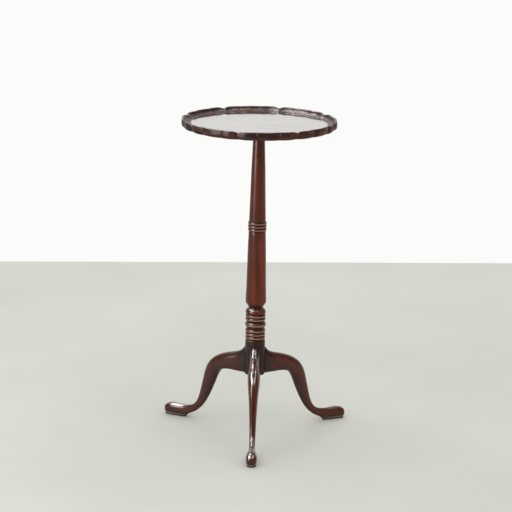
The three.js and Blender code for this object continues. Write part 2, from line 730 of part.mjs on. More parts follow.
const slidingCatch = new THREE.Group();
tippingTop.add(slidingCatch);
addPiece(slidingCatch, 'catch_bolt', boltPiece(), BRASS);
addPiece(slidingCatch, 'catch_knob', knobPiece(), BRASS);

export default table;
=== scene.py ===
# %% [markdown]
# # A tilt-top tripod table in mahogany
# The table is a dished top with a scalloped rim, a turned column and three cabriole legs. The top tips up on
# two pins, and a sprung brass catch holds it level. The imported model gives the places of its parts, in
# metres. It is loaded first, because each finer piece below stands for one of its nodes.

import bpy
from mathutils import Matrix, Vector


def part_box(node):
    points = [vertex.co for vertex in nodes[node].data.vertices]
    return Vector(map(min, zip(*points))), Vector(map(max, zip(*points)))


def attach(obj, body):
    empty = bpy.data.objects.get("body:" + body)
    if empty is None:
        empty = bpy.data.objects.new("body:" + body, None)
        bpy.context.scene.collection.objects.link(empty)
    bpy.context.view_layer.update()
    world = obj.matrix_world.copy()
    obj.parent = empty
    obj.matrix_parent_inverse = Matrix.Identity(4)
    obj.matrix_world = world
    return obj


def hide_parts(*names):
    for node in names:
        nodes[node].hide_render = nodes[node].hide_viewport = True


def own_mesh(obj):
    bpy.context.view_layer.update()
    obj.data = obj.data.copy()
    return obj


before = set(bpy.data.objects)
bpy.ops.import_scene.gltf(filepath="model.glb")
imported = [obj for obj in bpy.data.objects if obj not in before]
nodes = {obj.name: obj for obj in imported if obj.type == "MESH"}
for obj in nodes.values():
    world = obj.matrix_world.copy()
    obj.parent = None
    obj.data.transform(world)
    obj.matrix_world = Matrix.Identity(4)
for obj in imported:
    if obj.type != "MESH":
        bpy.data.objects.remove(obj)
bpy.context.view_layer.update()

# %% Libraries
import math

import bpy
from mathutils import Matrix, Vector

# %% [markdown]
# ## Places that the frame gives
# Sizes are written in millimetres, as a maker reads them off a rule, and turned to metres by one factor. The
# column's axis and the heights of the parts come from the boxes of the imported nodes, so the finer pieces sit
# where the plain ones did. The profiles further down are the maker's own sizes.

# %% Millimetres and main places
MM = 0.001

column_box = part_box("column")
top_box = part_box("top")
AXIS = Vector(((column_box[0].x + column_box[1].x) / 2, (column_box[0].y + column_box[1].y) / 2, 0))
UNDERSIDE = top_box[0].z
RIM_CREST = top_box[1].z
HUB_BASE = column_box[0].z
THICKNESS = round((RIM_CREST - UNDERSIDE) / MM, 3)  # of the top at its rim
DISH_DEPTH = 9.4
LEG_TURNS = {"front": -90, "left": 150, "right": 30}  # the way each leg points, in degrees from +X
print("axis", [round(v, 4) for v in AXIS], "underside", round(UNDERSIDE, 4), "hub base", round(HUB_BASE, 4))

# %% [markdown]
# ## Making and finishing a mesh
# Most of the table is made in two ways: turned on a lathe, or carved to a run of sections. Primitives with
# booleans could make both, but they would leave facets on the curves. A skin over rings of points follows
# either kind of curve, so one function makes it. Edges sharper than a set angle stay crisp, so that light
# breaks on a corner and flows over a curve.

# %% Skin over rings
def new_piece(name, points, faces, crisp=35):
    """A mesh object from points in metres. Edges sharper than `crisp` degrees stay sharp."""
    mesh = bpy.data.meshes.new(name)
    mesh.from_pydata([tuple(p) for p in points], [], faces)
    mesh.validate()
    mesh.shade_smooth()
    mesh.set_sharp_from_angle(angle=math.radians(crisp))
    piece = bpy.data.objects.new(name, mesh)
    bpy.context.scene.collection.objects.link(piece)
    return piece


def skin(rings):
    """Points and faces of a closed skin through rings of equal length, capped at both ends.

    A ring with one point closes the skin to a tip, as a turned piece does on its axis.
    """
    points, faces, starts = [], [], []
    for ring in rings:
        starts.append(len(points))
        points.extend(ring)
    for i in range(len(rings) - 1):
        a, b = starts[i], starts[i + 1]
        count = max(len(rings[i]), len(rings[i + 1]))
        for j in range(count):
            k = (j + 1) % count
            if len(rings[i]) == 1:
                faces.append((a, b + k, b + j))
            elif len(rings[i + 1]) == 1:
                faces.append((a + j, a + k, b))
            else:
                faces.append((a + j, a + k, b + k, b + j))
    for ring, start, turn in ((rings[0], starts[0], -1), (rings[-1], starts[-1], 1)):
        if len(ring) > 1:
            faces.append(tuple(range(start, start + len(ring)))[::turn])
    return points, faces


# %% Turned pieces
def keep_board(piece):
    """Keeps each point's place in the board that the piece is cut from, for the grain to follow."""
    marks = piece.data.attributes.new("board", "FLOAT_VECTOR", "POINT")
    marks.data.foreach_set("vector", [c for vertex in piece.data.vertices for c in vertex.co])


def mark_shade_and_sheen(piece, values):
    """Keeps one value for each point, for the finish to read: painted shade above zero, a painted highlight
    below zero.
    """
    marks = piece.data.attributes.new("shade_and_sheen", "FLOAT", "POINT")
    marks.data.foreach_set("value", values)


def set_down(piece, matrix):
    """Moves the points of a piece to its place on the table. Its board coordinates stay as they were."""
    piece.data.transform(matrix)


def lathe(profile, sides):
    """Rings of a turned piece about Z, from [radius, height] in millimetres."""
    rings = []
    for radius, height in profile:
        if radius == 0:
            rings.append([Vector((0, 0, height * MM))])
            continue
        turns = [2 * math.pi * j / sides for j in range(sides)]
        rings.append([Vector((radius * math.cos(t), radius * math.sin(t), height)) * MM for t in turns])
    return rings


def flowing(rows, steps):
    """More rows between the given ones, on a curve that passes through every one of them."""
    result = []
    for i in range(len(rows) - 1):
        before, start = rows[max(i - 1, 0)], rows[i]
        end, after = rows[i + 1], rows[min(i + 2, len(rows) - 1)]
        for k in range(steps):
            t = k / steps
            row = []
            for a, b, c, d in zip(before, start, end, after):
                bend = 2 * a - 5 * b + 4 * c - d
                row.append(b + 0.5 * t * ((c - a) + t * (bend + t * (3 * (b - c) + d - a))))
            result.append(row)
    return result + [list(rows[-1])]


# %% Cutting and easing edges
def cut_away(piece, cutter):
    """Cuts one piece with another and throws the cutter away."""
    knife = piece.modifiers.new("cut", "BOOLEAN")
    knife.operation = "DIFFERENCE"
    knife.solver = "EXACT"
    knife.object = cutter
    bpy.context.view_layer.update()
    seen = piece.evaluated_get(bpy.context.evaluated_depsgraph_get())
    made = bpy.data.meshes.new_from_object(seen)
    piece.modifiers.remove(knife)
    piece.data = made
    bpy.data.objects.remove(cutter)
    made.shade_smooth()
    made.set_sharp_from_angle(angle=math.radians(35))


def ease_edges(piece, width, angle=35, rounds=2):
    """Takes the sharpness off corners, as sandpaper and years of dusting do. Width is in millimetres."""
    joined = piece.modifiers.new("joined corners", "WELD")
    joined.merge_threshold = 0.005 * MM
    soft = piece.modifiers.new("eased edges", "BEVEL")
    soft.width = width * MM
    soft.segments = rounds
    soft.limit_method = "ANGLE"
    soft.angle_limit = math.radians(angle)
    soft.harden_normals = True


# %% [markdown]
# ## Colours and nodes
# A colour is written as the hex value that a paint chart would give and turned to linear light, which the
# renderer works in. One function adds any node, with its settings and its links.

# %% Colour and node helpers
COLOUR_A, COLOUR_B, COLOUR_OUT = 6, 7, 2  # the colour sockets of a Mix node


def linear(hex_colour):
    """Linear RGBA from an sRGB hex colour."""
    channels = [int(hex_colour[i:i + 2], 16) / 255 for i in (1, 3, 5)]
    return tuple(c / 12.92 if c <= 0.04045 else ((c + 0.055) / 1.055) ** 2.4 for c in channels) + (1.0,)


def add_node(tree, kind, inputs=None, **settings):
    """Adds a node. An input is a value, or the output of another node to link to."""
    node = tree.nodes.new("ShaderNode" + kind)
    for name, value in settings.items():
        setattr(node, name, value)
    for name, value in (inputs or {}).items():
        if isinstance(value, bpy.types.NodeSocket):
            tree.links.new(value, node.inputs[name])
        else:
            node.inputs[name].default_value = value
    return node


def new_finish(name):
    """An empty material and its node tree."""
    material = bpy.data.materials.new(name)
    material.use_nodes = True
    material.node_tree.nodes.clear()
    return material, material.node_tree


def close_finish(tree, shader):
    """Ends a material at its shader."""
    add_node(tree, "OutputMaterial", {"Surface": shader.outputs["BSDF"]})


# %% [markdown]
# ## Mahogany
# Mahogany is a red-brown wood with long dark pores and a ribbon figure, where bands of the grain lean one way
# and then the other. Shellac and wax have darkened it over two centuries. The grain is noise that is stretched
# along the board, in the board's own coordinates, so that it turns with each leg. Real pores are about 0.2 mm
# wide. They are drawn at 0.7 mm so that they show at all. Where a piece has a painted light value on its
# points, values above zero are painted shade, darker and duller, and values below zero are a painted highlight
# of pale wood. The polish is a clear coat, because shellac lies on top of the wood.

# %% Mahogany finish
PORE = (16, 0.7)  # length and width as drawn, in millimetres
RIBBON = (260, 9)
CLOUD = 70  # size of the light and dark clouds in old polish
DISH_HEIGHT = THICKNESS - DISH_DEPTH  # the dish's floor above the underside of the board
DENT_POLISH = 0.3  # share of the polish left where something hot or sharp has marked it
DENT_CORE = 0.4  # share of a mark's size that has lost that much, before the polish comes back
HOLLOW_DULLNESS = 0.3  # how much rougher old wax makes the wood where the painted shade value is above zero
DENTS = [(-8, 58, 4), (24, 34, 3), (-17, -7, 3.5), (60, -40, 2), (-70, 20, 2)]  # x, y and size


def mahogany(name, light, dark, grain_turn, gloss, polish, polish_gloss=0.08, whole_table=False, dents=(),
             cloud=(CLOUD, 0.3)):
    """A mahogany finish. grain_turn (degrees) turns X to the way that the grain runs.

    whole_table is for kept pieces, which have no board of their own and take the table's coordinates.
    dents are marks in the polish. cloud is the size of the dark clouds, in millimetres, and their strength.
    """
    material, tree = new_finish(name)
    if whole_table:
        place = add_node(tree, "TexCoord").outputs["Object"]
    else:
        place = add_node(tree, "Attribute", attribute_name="board").outputs["Vector"]
    turn = tuple(math.radians(a) for a in grain_turn)
    board = add_node(tree, "Mapping", {"Vector": place, "Rotation": turn}, vector_type="TEXTURE")

    def stretched(size, detail):
        length, width = size
        scale = (1 / (length * MM), 1 / (width * MM), 1 / (width * MM))
        spread = add_node(tree, "Mapping", {"Vector": board.outputs["Vector"], "Scale": scale})
        inputs = {"Vector": spread.outputs["Vector"], "Scale": 1.0, "Detail": detail, "Roughness": 0.6}
        return add_node(tree, "TexNoise", inputs).outputs["Fac"]

    ribbon = stretched(RIBBON, 3.0)
    pores = stretched(PORE, 1.0)
    clouds = stretched((cloud[0], cloud[0]), 2.0)
    ribbon_level = add_node(tree, "MapRange", {"Value": ribbon, "From Min": 0.36, "From Max": 0.66})
    wood = add_node(tree, "Mix", {
        "Factor": ribbon_level.outputs["Result"],
        COLOUR_A: linear(dark),
        COLOUR_B: linear(light),
    }, data_type="RGBA")
    cloud_level = add_node(tree, "MapRange", {
        "Value": clouds, "From Min": 0.35, "From Max": 0.7, "To Min": 0.0, "To Max": cloud[1]})
    clouded = add_node(tree, "Mix", {
        "Factor": cloud_level.outputs["Result"],
        COLOUR_A: wood.outputs[COLOUR_OUT],
        COLOUR_B: linear(dark),
    }, data_type="RGBA")
    pore_level = add_node(tree, "MapRange", {
        "Value": pores, "From Min": 0.6, "From Max": 0.74, "To Max": 0.7})
    pored = add_node(tree, "Mix", {
        "Factor": pore_level.outputs["Result"],
        COLOUR_A: clouded.outputs[COLOUR_OUT],
        COLOUR_B: linear("#0d0504"),
    }, data_type="RGBA")
    # The point value read here is painted light: above zero it darkens the wood as painted shade, below zero
    # it pales it as a painted highlight.
    shade_and_sheen = add_node(tree, "Attribute", attribute_name="shade_and_sheen").outputs["Fac"]
    highlight_share = add_node(tree, "MapRange", {
        "Value": shade_and_sheen, "From Min": 0.0, "From Max": -1.0, "To Min": 0.0, "To Max": 1.0})
    highlighted = add_node(tree, "Mix", {
        "Factor": highlight_share.outputs["Result"],
        COLOUR_A: pored.outputs[COLOUR_OUT],
        COLOUR_B: linear("#c9aa9c"),
    }, data_type="RGBA")
    shade_share = add_node(tree, "MapRange", {"Value": shade_and_sheen, "To Max": 0.85})
    colour = add_node(tree, "Mix", {
        "Factor": shade_share.outputs["Result"],
        COLOUR_A: highlighted.outputs[COLOUR_OUT],
        COLOUR_B: linear("#0b0605"),
    }, data_type="RGBA")
    dullness = add_node(tree, "MapRange", {
        "Value": clouds, "From Min": 0.3, "From Max": 0.75, "To Min": gloss[0], "To Max": gloss[1]})
    duller = add_node(tree, "Math", {0: shade_and_sheen, 1: HOLLOW_DULLNESS, 2: dullness.outputs["Result"]},
                      operation="MULTIPLY_ADD")
    bump = add_node(tree, "Bump", {"Height": pores, "Strength": 0.12, "Distance": 0.1 * MM}, invert=True)
    coat = polish
    for x, y, size in dents:
        away = add_node(tree, "VectorMath", {0: place, 1: (x * MM, y * MM, DISH_HEIGHT * MM)},
                        operation="DISTANCE").outputs["Value"]
        share = add_node(tree, "MapRange", {
            "Value": away, "From Min": DENT_CORE * size * MM, "From Max": size * MM,
            "To Min": DENT_POLISH, "To Max": 1.0}).outputs["Result"]
        coat = add_node(tree, "Math", {0: coat, 1: share}, operation="MULTIPLY").outputs["Value"]
    shader = add_node(tree, "BsdfPrincipled", {
        "Base Color": colour.outputs[COLOUR_OUT], "Roughness": duller.outputs["Value"], "IOR": 1.5,
        "Normal": bump.outputs["Normal"], "Coat Weight": coat, "Coat Roughness": polish_gloss,
        "Coat IOR": 1.5, "Specular IOR Level": 0.08})
    close_finish(tree, shader)
    return material


finish = {
    "column": mahogany("waxed_mahogany_column", "#702c14", "#4a1c0b", (0, 90, 0), (0.22, 0.36), 0.42, 0.24),
    "leg": mahogany("waxed_mahogany_leg", "#562410", "#40180b", (0, 41, 0), (0.2, 0.32), 0.7, 0.19),
    "top": mahogany("french_polished_mahogany", "#5a2415", "#2c100a", (0, 0, 0), (0.16, 0.26), 1.0, 0.05,
                    dents=DENTS),
    "rim": mahogany("waxed_mahogany_rim", "#6b3120", "#231b18", (0, 0, 0), (0.4, 0.55), 0.22, 0.28,
                    cloud=(34, 0.95)),
    "under": mahogany("bare_mahogany_underside", "#6f4029", "#4c2a1b", (0, 0, 0), (0.6, 0.75), 0.0),
    "plain": mahogany("plain_mahogany", "#7a452b", "#512a18", (0, 0, 90), (0.55, 0.7), 0.0,
                      whole_table=True),
}
print("wood finishes:", sorted(finish))

# %% [markdown]
# ## Metals
# The catch is cast brass that has gone brown where fingers do not reach. The screws and the plate under the
# legs are wrought iron with a dark skin and a little rust. The pins and the spring are drawn steel. A metal
# keeps the default IOR. Its look comes from its colour and from how dull each patch is.

# %% Metal finish
def old_metal(name, clean, tarnished, gloss, patch, metal_share=1.0):
    """A metal with clean and tarnished patches of a size in millimetres."""
    material, tree = new_finish(name)
    place = add_node(tree, "TexCoord").outputs["Object"]
    patches = add_node(tree, "TexNoise", {
        "Vector": place, "Scale": 1 / (patch * MM), "Detail": 4.0, "Roughness": 0.65}).outputs["Fac"]
    level = add_node(tree, "MapRange", {"Value": patches, "From Min": 0.38, "From Max": 0.64})
    colour = add_node(tree, "Mix", {
        "Factor": level.outputs["Result"],
        COLOUR_A: linear(clean),
        COLOUR_B: linear(tarnished),
    }, data_type="RGBA")
    dullness = add_node(tree, "MapRange", {
        "Value": patches, "From Min": 0.35, "From Max": 0.7, "To Min": gloss[0], "To Max": gloss[1]})
    bump = add_node(tree, "Bump", {"Height": patches, "Strength": 0.2, "Distance": 0.15 * MM})
    shader = add_node(tree, "BsdfPrincipled", {
        "Base Color": colour.outputs[COLOUR_OUT], "Roughness": dullness.outputs["Result"],
        "Metallic": metal_share, "Normal": bump.outputs["Normal"]})
    close_finish(tree, shader)
    return material


finish["brass"] = old_metal("aged_cast_brass", "#9d7b41", "#54391c", (0.3, 0.5), 3)
finish["iron"] = old_metal("wrought_iron", "#4a4643", "#2c211b", (0.4, 0.7), 2.5, 0.9)
finish["steel"] = old_metal("drawn_steel", "#8f8b85", "#5a544d", (0.25, 0.45), 2)
print("metals done")

# %% [markdown]
# ## Foot pads
# A thin pad of blackened wood, scuffed by the floor, keeps the polished foot off the ground. It is nearly
# black, dull and slightly dusty, with a pale band along its upper edge that is a painted highlight.

# %% Pad finish
pad_material, pad_tree = new_finish("blackened_wood_pad")
pad_place = add_node(pad_tree, "TexCoord").outputs["Object"]
pad_dust = add_node(pad_tree, "TexNoise", {"Vector": pad_place, "Scale": 1 / (2 * MM), "Detail": 3.0})
pad_level = add_node(pad_tree, "MapRange", {
    "Value": pad_dust.outputs["Fac"], "From Min": 0.4, "From Max": 0.7})
pad_colour = add_node(pad_tree, "Mix", {
    "Factor": pad_level.outputs["Result"],
    COLOUR_A: linear("#15100e"),
    COLOUR_B: linear("#2b2420"),
}, data_type="RGBA")
pad_height = add_node(pad_tree, "SeparateXYZ", {"Vector": pad_place})
HIGHLIGHT_FROM, HIGHLIGHT_BY = 3.2, 4.2  # heights in millimetres between which the upper edge turns pale: a painted highlight
pad_highlight_band = add_node(pad_tree, "MapRange", {
    "Value": pad_height.outputs["Z"], "From Min": HIGHLIGHT_FROM * MM, "From Max": HIGHLIGHT_BY * MM})
pad_highlighted = add_node(pad_tree, "Mix", {
    "Factor": pad_highlight_band.outputs["Result"],
    COLOUR_A: pad_colour.outputs[COLOUR_OUT],
    COLOUR_B: linear("#9a9186"),
}, data_type="RGBA")
pad_bump = add_node(pad_tree, "Bump", {
    "Height": pad_dust.outputs["Fac"], "Strength": 0.3, "Distance": 0.2 * MM})
close_finish(pad_tree, add_node(pad_tree, "BsdfPrincipled", {
    "Base Color": pad_highlighted.outputs[COLOUR_OUT], "Roughness": 0.6, "Normal": pad_bump.outputs["Normal"]}))
finish["pad"] = pad_material
print("pad finish nodes:", len(pad_tree.nodes))

# %% [markdown]
# ## The top
# The top is one board, dished on a lathe so that a rim is left standing, and then carved to a pie-crust
# outline: eight repeats, each with two lobes that meet in a sharp mitre and a long shallow arc between. The
# moulding follows the outline at the crest and fades to a true circle where it meets the dish. A moulding
# swept round the outline would pinch at the mitres. Here each ring of the skin is a circle less a share of
# the scallop, so the section stays whole all the way round.

# %% Outline of the rim
TOP_RADIUS = 169.8
REPEATS = 8
REPEAT = 360 / REPEATS  # degrees
MITRE_AT = -14.7  # one mitre's place, in degrees from -Y
LOBE = 14  # degrees from a mitre to the nick where the long arc starts
MITRE_INSET, NICK_INSET = 5.6, 3.4  # how far in the edge stands at a mitre and at a nick
LOBE_BULGE, ARC_BULGE = 4.2, 2.4  # how far a lobe and a long arc swell out between them


def edge_inset(angle):
    """How far the edge stands in from the full radius, in millimetres."""
    in_repeat = (angle - MITRE_AT) % REPEAT
    from_mitre = min(in_repeat, REPEAT - in_repeat)
    if from_mitre > LOBE:
        along = (from_mitre - LOBE) / (REPEAT - 2 * LOBE)
        return NICK_INSET - ARC_BULGE * math.sin(math.pi * along)
    along = from_mitre / LOBE
    return MITRE_INSET + (NICK_INSET - MITRE_INSET) * along - LOBE_BULGE * math.sin(math.pi * along)


def edge_angles(steps):
    """Angles round the edge, one on every mitre and nick and closer together beside them."""
    angles = []
    for repeat in range(REPEATS):
        start = MITRE_AT + repeat * REPEAT
        for length in (LOBE, REPEAT - 2 * LOBE, LOBE):
            angles += [start + length * (1 - math.cos(math.pi * i / steps)) / 2 for i in range(steps)]
            start += length
    return angles


# %% Dips where two lobes meet
MITRE_DIP = 3.0  # the crest is carved down by this much, in millimetres
DIP_ANGLE = 3.5  # and comes up again over this angle on each side
DIP_DEPTH = 5  # nothing lower than this below the crest is carved


def crest_dip(angle, height):
    """How much lower the rim is where the lobes round over into a mitre."""
    in_repeat = (angle - MITRE_AT) % REPEAT
    near = max(0, 1 - min(in_repeat, REPEAT - in_repeat) / DIP_ANGLE)
    high = max(0, 1 - (THICKNESS - height) / DIP_DEPTH)
    return MITRE_DIP * near * high


# %% Section of the rim
DISH_RADIUS = 148
# Each part runs [inward, height above the underside, share of the scallop].
OUTER_WALL = [[9, 0, 1], [5.4, 0.9, 1], [2.4, 2.7, 1], [0.5, 5.2, 1], [0.05, 8, 1], [0.05, 12.5, 1],
              [0.25, THICKNESS - 1.7, 1]]
BEAD = [[0.25, THICKNESS - 1.7, 1], [0.8, THICKNESS - 0.5, 1], [2.2, THICKNESS - 0.06, 1],
        [4.2, THICKNESS - 0.15, 0.99], [5.7, THICKNESS - 1, 0.97], [6.3, THICKNESS - 2.4, 0.95],
        [6.7, THICKNESS - 4.3, 0.92]]
LEDGE = [[6.9, THICKNESS - 4.5, 0.92], [8.8, THICKNESS - 4.4, 0.87]]
COVE = [[9.3, THICKNESS - 4.9, 0.85], [10.6, THICKNESS - 6.5, 0.78], [13.3, THICKNESS - 8.1, 0.65],
        [17, THICKNESS - 9.1, 0.4], [22, THICKNESS - DISH_DEPTH, 0]]
section = flowing(OUTER_WALL, 2)[:-1] + flowing(BEAD, 2) + LEDGE + flowing(COVE, 2)
DISH_RINGS = (27, 40, 60, 85, 110, 135, 160)  # rings across the flat dish
section += [[inward, THICKNESS - DISH_DEPTH, 0] for inward in DISH_RINGS]
print("rim section points:", len(section))

# %% Carve the top
EDGE_STEPS = 8  # steps in each lobe and each arc
ANGLES = edge_angles(EDGE_STEPS)
UNDER_RINGS = (140, 100, 60, 30)  # how far in each ring of the flat underside stands
MITRE_HIGHLIGHT, NICK_HIGHLIGHT = -0.5, -0.2  # below zero is a pale painted highlight along the crease
LEDGE_SHADE = 0.5  # above zero is painted shade
SHADED_FROM, SHADED_TO = 6.4, 9  # the ledge, as millimetres in from the edge
MOULDED_ABOVE = 11  # the height where the moulding starts
SCALLOPED = 0.3  # the least share of the scallop that still counts as moulding


def top_ring(inward, height, share):
    ring = []
    for angle in ANGLES:
        radius = (TOP_RADIUS - inward - share * edge_inset(angle)) * MM
        turn = math.radians(angle)
        z = (height - crest_dip(angle, height)) * MM
        ring.append(Vector((radius * math.sin(turn), -radius * math.cos(turn), z)))
    return ring


rings = [[Vector((0, 0, 0))]] + [top_ring(inward, 0, 0) for inward in UNDER_RINGS]
rings += [top_ring(*row) for row in section] + [[Vector((0, 0, (THICKNESS - DISH_DEPTH) * MM))]]
top = new_piece("top_board", *skin(rings), crisp=28)
# Pale painted highlights run down the mitres and nicks of the moulding.
folds = {0: MITRE_HIGHLIGHT, EDGE_STEPS: NICK_HIGHLIGHT, 2 * EDGE_STEPS: NICK_HIGHLIGHT}
marks = [0.0] * len(top.data.vertices)
for number, (inward, height, share) in enumerate(section):
    first = 1 + len(ANGLES) * (len(UNDER_RINGS) + number)
    # The ledge between bead and cove gets painted shade.
    shaded_ledge = LEDGE_SHADE if SHADED_FROM < inward < SHADED_TO else 0.0
    if share > SCALLOPED and height > MOULDED_ABOVE:
        for i in range(len(ANGLES)):
            marks[first + i] = folds.get(i % (3 * EDGE_STEPS), shaded_ledge)
mark_shade_and_sheen(top, marks)
keep_board(top)
set_down(top, Matrix.Translation(AXIS + Vector((0, 0, UNDERSIDE))))
DISH_FINISH, RIM_FINISH, UNDER_FINISH = range(3)
FACE_ROOM = 0.5  # millimetres by which a face may stand off the line between two finishes
for kind in ("top", "rim", "under"):
    top.data.materials.append(finish[kind])
for face in top.data.polygons:
    out = math.hypot(face.center.x - AXIS.x, face.center.y - AXIS.y)
    face.material_index = RIM_FINISH if out > (DISH_RADIUS - FACE_ROOM) * MM else DISH_FINISH
    if face.center.z < UNDERSIDE + FACE_ROOM * MM:
        face.material_index = UNDER_FINISH
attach(top, "tipping_top")
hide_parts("top")
print("top faces:", len(top.data.polygons))

# %% [markdown]
# ## The column
# The column is turned from one square of wood: a plain hub for the legs, a stack of reeds, a torus, a neck,
# and two tapered shafts with a ring of reeds between. A profile spun about the axis is how the lathe makes it
# too. The tenon above goes through the block, where a wedge spreads it. Each point keeps a value of painted
# light: painted shade in the grooves and on the hub, and a painted highlight on the crests of the reeds.

# %% Profile of the column
CREST_HIGHLIGHT = 0.6  # how strongly a painted highlight lightens the crest of a reed
CREST = 0.94  # the share of a reed's rise where its crest starts
REED_STEPS, REED_START = 8, 0.12  # steps over a reed, and how much of a step is lost in each groove
GROOVE_SHADE_FADE = 0.8  # how quickly the painted shade fades from a groove up to the crest


def reeds(low, high, count, crest, groove):
    """Equal round reeds between two heights, as rows of [radius, height, painted shade above zero and
    highlight below].
    """
    pitch = (high - low) / count
    rows = []
    for i in range(count):
        for k in range(REED_STEPS + 1):
            turn = math.pi * (k + REED_START) / (REED_STEPS + 2 * REED_START)
            rise = math.sin(turn)
            height = low + pitch * (i + (1 - math.cos(turn)) / 2)
            shade_and_sheen = (1 - rise) ** GROOVE_SHADE_FADE - CREST_HIGHLIGHT * max(0, rise - CREST) / (1 - CREST)
            rows.append([groove + (crest - groove) * rise, height, shade_and_sheen])
    return rows


block_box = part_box("pivot_block")
PLAY = 0.3  # how far one piece of wood stands clear of the next, in millimetres
SHOULDER = block_box[0].z / MM - PLAY
TENON_TOP = block_box[1].z / MM - PLAY
HUB_FOOT = HUB_BASE / MM
# The third number of each row is painted shade above zero, in the grooves and on the hub, and a painted
# highlight below zero.
HUB = [[0, HUB_FOOT, 0.9], [19, HUB_FOOT, 0.9], [21.2, HUB_FOOT + 1.4, 0.9], [22, 145, 0.95],
       [22, 190, 0.95], [22, 205, 0.9], [22, 213.6, 0.85], [21.6, 215.2, 0.5], [19.6, 216.6, 1]]
NECK = [[20.2, 275.6, 0.6], [22.3, 277.5, 0.1], [22.6, 279.4, 0], [22.2, 281.6, 0], [20.8, 284.6, 0.2],
        [18.2, 287.2, 0.5], [15.9, 288.8, 0.9], [15.5, 290, 1]]
SHAFT = [[22.9, 304, 0], [21.7, 343, 0], [20.8, 390, 0], [19.8, 434, 0], [18.8, 462, 0.1]]
UPPER_SHAFT = [[18.4, 488, 0.1], [17.4, 523, 0], [16.4, 559, 0], [15.6, 595, 0], [14.3, 630, 0],
               [12.9, SHOULDER, 0]]
TENON = [[11, SHOULDER, 0], [11, TENON_TOP - 0.3, 0], [10.6, TENON_TOP, 0], [0, TENON_TOP, 0]]
profile = (
    HUB
    + reeds(217, 241, 3, 22.2, 19.2)
    + [[19, 242, 1], [19, 243.8, 1]]
    + reeds(244.5, 256.5, 1, 23.2, 19)
    + [[19, 257.4, 1], [19.1, 258.6, 1]]
    + reeds(259.2, 274.5, 2, 22.3, 19.2)
    + flowing(NECK, 2)
    + [[16.1, 291.2, 1], [19, 295.9, 0.5], [22.2, 301.1, 0.1], [22.7, 302.3, 0]]
    + flowing(SHAFT, 3)
    + reeds(463.5, 484.5, 3, 20.5, 18.3)
    + flowing(UPPER_SHAFT, 3)
    + TENON
)
print("column profile points:", len(profile))

# %% Turn the column
COLUMN_SIDES = 72
rings = lathe([row[:2] for row in profile], COLUMN_SIDES)
column = new_piece("turned_column", *skin(rings))
mark_shade_and_sheen(column, [row[2] for row, ring in zip(profile, rings) for _ in ring])
keep_board(column)
set_down(column, Matrix.Translation(AXIS))
wedge_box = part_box("tenon_wedge")


def slab(name, outline, low, high, axis="Z"):
    """A flat piece between two places along Z, or along X for an outline of y and z. All in metres."""
    if axis == "Z":
        rings = [[Vector((u, v, place)) for u, v in outline] for place in (low, high)]
    else:
        rings = [[Vector((place, u, v)) for u, v in outline] for place in (low, high)]
    return new_piece(name, *skin(rings))


WEDGE_TOP, WEDGE_FOOT = 2.1, 0.9  # half widths of the saw cut, in millimetres
KERF_PAST_TOP = 1  # how far the saw cut runs past the tenon's end
KERF_REACH = 0.02  # half its length, in metres: more than the tenon's radius
kerf = slab("kerf", [
    (AXIS.y - WEDGE_FOOT * MM, wedge_box[0].z - PLAY * MM),
    (AXIS.y + WEDGE_FOOT * MM, wedge_box[0].z - PLAY * MM),
    (AXIS.y + WEDGE_TOP * MM, wedge_box[1].z + KERF_PAST_TOP * MM),
    (AXIS.y - WEDGE_TOP * MM, wedge_box[1].z + KERF_PAST_TOP * MM),
], -KERF_REACH, KERF_REACH, axis="X")
cut_away(column, kerf)
column.data.materials.append(finish["column"])
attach(column, "stand")
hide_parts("column")
print("column faces:", len(column.data.polygons), "hollow kept:", "shade_and_sheen" in column.data.attributes)

# %% [markdown]
# ## The legs
# A cabriole leg is sawn from a thick board to an S curve and then rounded with a spokeshave. It leaves the
# hub level, drops over a knee, thins at the ankle and spreads into a spoon foot. A tube along a curve would
# keep one section, so the leg is a skin over many. Each row below is one section in the leg's own upright
# plane. It gives the upper point, the lower point, the half width, and how square the lower half is. The
# first section is scribed to the round of the hub.

# %% Sections of a leg
HUB_FIT = 22.3  # the hub's radius and a little play
LEG_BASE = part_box("tripod_plate")[0].z / MM  # the plate is let in flush
LEG_ROWS = [
    [22, 200, 22, LEG_BASE, 12.6, 6], [25, 196, 25, LEG_BASE, 12.7, 6],
    [34, 186.5, 34, LEG_BASE, 12.9, 5.5], [46, 180.8, 46, LEG_BASE, 13.1, 5],
    [60, 177, 61.5, 136.3, 13.4, 4.2], [77, 172, 74, 134.6, 13.7, 3.5],
    [94, 164.8, 83.5, 131.2, 13.6, 3], [109.5, 154.2, 90.5, 125, 12.8, 2.6],
    [120, 142, 95.5, 116.5, 11.6, 2.4], [126.8, 128.5, 99.6, 106.5, 10.5, 2.3],
    [131.8, 112, 104, 95, 9.5, 2.2], [136.5, 92.3, 110.8, 79.5, 8.5, 2.2],
    [141.2, 73, 118.6, 63, 7.7, 2.2], [146, 56.3, 127, 48, 7.2, 2.2],
    [151.5, 44.3, 135.5, 36, 6.9, 2.2], [158.8, 35.6, 145, 25.8, 6.7, 2.3],
    [167, 30.9, 155.5, 17.5, 6.6, 2.5], [175, 28.6, 166, 11.8, 6.8, 2.7],
    [181.5, 27.6, 173.5, 8, 7.2, 3], [188, 27.1, 179.5, 3.5, 7.9, 3.4],
    [198, 27, 194, 3, 9.4, 3.6], [209, 27.3, 208, 3, 11.2, 3.6],
    [219, 26.9, 220, 3, 12.1, 3.5], [227.5, 25, 228.5, 3, 11.5, 3.3],
    [233.6, 21.3, 234.3, 4, 9.2, 3], [236.6, 17.6, 236.8, 6, 5.2, 2.7],
    [237.8, 14.2, 237.8, 9, 2.2, 2.4],
]
SOLE = 5  # height of the flat sole above the floor
FOOT_FROM = 150  # the sole is planed from here outward
RING_ROOM = 0.01  # keeps one section from landing on the next where the hub scribes them
UPPER_SQUARENESS = 2.4
ROUND_STEPS = 28
print("sections given for a leg:", len(LEG_ROWS))


